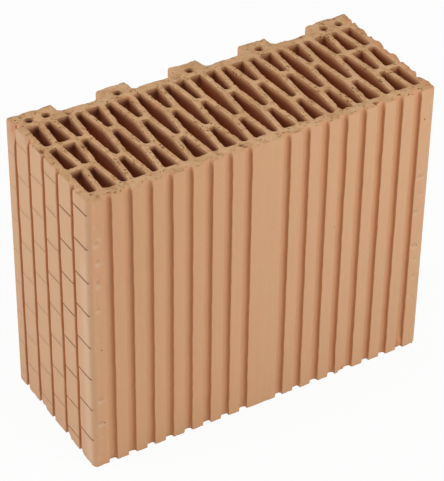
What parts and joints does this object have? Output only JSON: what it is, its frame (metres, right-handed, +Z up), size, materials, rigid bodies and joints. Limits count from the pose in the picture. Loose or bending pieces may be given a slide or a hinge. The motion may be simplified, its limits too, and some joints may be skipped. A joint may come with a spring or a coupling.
{
  "type": "hollow clay block",
  "caption": "Fired clay wall block with upright lens-shaped holes between wavy webs, plaster grooves on the outer faces and interlocking tongues along one long side.",
  "frame": {"origin": "middle of the bottom of the block's box, on the lower bed face", "axes": "+X along the long side, +Y from the grooved long face to the face with the tongues, +Z up along the holes"},
  "size_m": [0.3, 0.125, 0.249],
  "materials": {
    "fired_clay": "unglazed fired clay, orange buff on the extruded sides and sandy where it is ground"
  },
  "bodies": {
    "root": {"clay_block": "fired_clay"}
  },
  "joints": []
}
